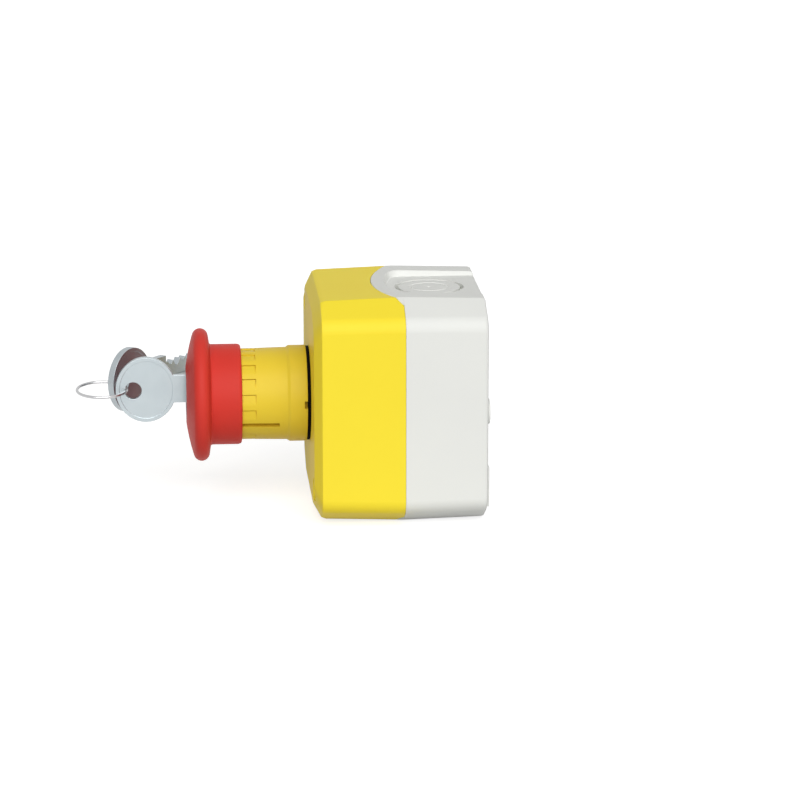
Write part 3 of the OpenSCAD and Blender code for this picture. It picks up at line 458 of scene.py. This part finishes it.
def sleeveBody(look):
    shape = bmesh.new()
    points = [shape.verts.new((radius * mm, -away * mm, 0)) for radius, away in look["profile"]]
    edges = [shape.edges.new((points[i - 1], points[i])) for i in range(len(points))]
    bmesh.ops.spin(shape, geom=points + edges, cent=(0, 0, 0), axis=(0, 1, 0), angle=math.tau, steps=look["steps"],
                   use_merge=True, use_duplicate=False)
    bmesh.ops.remove_doubles(shape, verts=shape.verts, dist=0.001 * mm)
    bmesh.ops.recalc_face_normals(shape, faces=shape.faces)
    keen = [edge for edge in shape.edges if edge.calc_face_angle(0) > math.radians(look["edgeFrom"])]
    bmesh.ops.bevel(shape, geom=keen, offset=look["edge"] * mm, segments=2, profile=0.5, material=-1, affect="EDGES")
    for vert in shape.verts:
        angle, radius = sleeveCarve(*onSleeve(vert.co), look)
        turn = math.radians(angle)
        vert.co = (radius * mm * math.cos(turn), vert.co.y, radius * mm * math.sin(turn))
    return shape


def latchLedge(shape, look, start):
    # one of the ledges inside that hold the latch
    inner, outer = look["ledgeRadii"]
    corners = [(inner, 0), (outer, 0), (outer, look["ledgeThick"]), (inner, look["ledgeThick"])]
    turn = Matrix.Rotation(-math.radians(start), 4, "Y")
    section = [shape.verts.new(turn @ Vector((radius * mm, -(look["ledgeFrom"] + rise) * mm, 0)))
               for radius, rise in corners]
    face = shape.faces.new(section)
    bmesh.ops.spin(shape, geom=[face] + list(face.edges) + section, cent=(0, 0, 0), axis=(0, 1, 0),
                   angle=-math.radians(look["ledgeSpan"]), steps=look["ledgeSteps"], use_duplicate=False)


def inZone(point, zone):
    angle, away, radius = onSleeve(point)
    return (zone["away"][0] < away < zone["away"][1] and zone["radius"][0] < radius < zone["radius"][1]
            and abs(angle - zone["middle"]) < zone["half"])


def ribbedSleeve(look):
    shape = sleeveBody(look)
    for start in look["ledgeAngles"]:
        latchLedge(shape, look, start)
    bmesh.ops.recalc_face_normals(shape, faces=shape.faces)
    mesh = smoothMesh("ribbedSleeve", shape, look["sharpFrom"])
    pieceFrom("ribbedSleeve", mesh, "head_sleeve")
    # painted shade: the long groove and the notch get the darker polyamide
    mesh.materials.append(finishes["grooveShadePolyamide"])
    for face in mesh.polygons:
        if any(inZone(face.center, zone) for zone in look["grooveShadeZones"]):
            face.material_index = 1


ribbedSleeve(sleeveLook)


print("stage: springs")

springLooks = {
    # foot is the end that stands still, keep the share of the length that is left when the button is in
    "return_spring": {"name": "returnSpring", "sharpFrom": 50, "foot": -66.62 * mm, "keep": 0.726},
    "nc_spring": {"name": "ncSpring", "sharpFrom": 50, "foot": -4.68 * mm, "keep": 0.31},
    "no_spring": {"name": "noSpring", "sharpFrom": 50, "foot": -4.68 * mm, "keep": 0.31},
}


def closingSpring(node, look):
    mesh = smoothMesh(look["name"], mergedShape(node), look["sharpFrom"])
    piece = pieceFrom(look["name"], mesh, node)
    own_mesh(piece)


for node, look in springLooks.items():
    closingSpring(node, look)


print("stage: studio")

studio = {
    "floor": -34.2 * mm,
    "floorSize": 12,
    "paper": 0.6,          # how much light the floor gives back
    "paperGlow": 0.74,     # brings the lit paper up to white, and leaves a faint shadow
    "ambient": 0.21,
    "lampElevation": 35,   # a large soft light at the right
    "lampAzimuth": -4,     # degrees from +X towards -Y
    "lampSpread": 60,
    "lampStrength": 2.5,
}


def seenDirectly(tree):
    # 1 for rays of the camera and those that gloss or glass send on, 0 for the ones that light the object
    rays = addNode(tree, "ShaderNodeLightPath").outputs
    seen = addNode(tree, "ShaderNodeMath", {"operation": "MAXIMUM"},
                   {0: rays["Is Camera Ray"], 1: rays["Is Glossy Ray"]})
    seen = addNode(tree, "ShaderNodeMath", {"operation": "MAXIMUM"},
                   {0: seen.outputs[0], 1: rays["Is Transmission Ray"]})
    return seen.outputs[0]


def whiteFloor(look):
    plane = bmesh.new()
    bmesh.ops.create_grid(plane, x_segments=1, y_segments=1, size=look["floorSize"] / 2)
    bmesh.ops.translate(plane, verts=plane.verts, vec=(0, 0, look["floor"]))
    mesh = bpy.data.meshes.new("studioFloor")
    plane.to_mesh(mesh)
    plane.free()
    floor = bpy.data.objects.new("studioFloor", mesh)
    bpy.context.collection.objects.link(floor)
    material, tree = newMaterial("floorPaper")
    paper = addNode(tree, "ShaderNodeBsdfDiffuse", {"Color": [look["paper"]] * 3 + [1]})
    level = addNode(tree, "ShaderNodeMath", {"operation": "MULTIPLY", 1: look["paperGlow"]}, {0: seenDirectly(tree)})
    glow = addNode(tree, "ShaderNodeEmission", {"Color": (1, 1, 1, 1)}, {"Strength": level.outputs[0]})
    both = addNode(tree, "ShaderNodeAddShader", links={0: paper.outputs[0], 1: glow.outputs[0]})
    addNode(tree, "ShaderNodeOutputMaterial", links={"Surface": both.outputs[0]})
    mesh.materials.append(material)


def whiteWorld(look):
    world = bpy.data.worlds.new("studioWorld")
    bpy.context.scene.world = world
    world.use_nodes = True
    tree = world.node_tree
    tree.nodes.clear()
    level = addNode(tree, "ShaderNodeMapRange", {"To Min": look["ambient"], "To Max": 1.0},
                    {"Value": seenDirectly(tree)})
    sky = addNode(tree, "ShaderNodeBackground", {"Color": (1, 1, 1, 1)}, {"Strength": level.outputs["Result"]})
    addNode(tree, "ShaderNodeOutputWorld", links={"Surface": sky.outputs[0]})


def softLamp(look):
    towards = direction(look["lampAzimuth"], look["lampElevation"])
    lamp = bpy.data.lights.new("softBox", "SUN")
    lamp.energy = look["lampStrength"]
    lamp.angle = math.radians(look["lampSpread"])
    softBox = bpy.data.objects.new("softBox", lamp)
    softBox.location = towards
    softBox.rotation_euler = towards.to_track_quat("Z", "Y").to_euler()
    bpy.context.collection.objects.link(softBox)


whiteFloor(studio)
whiteWorld(studio)
softLamp(studio)
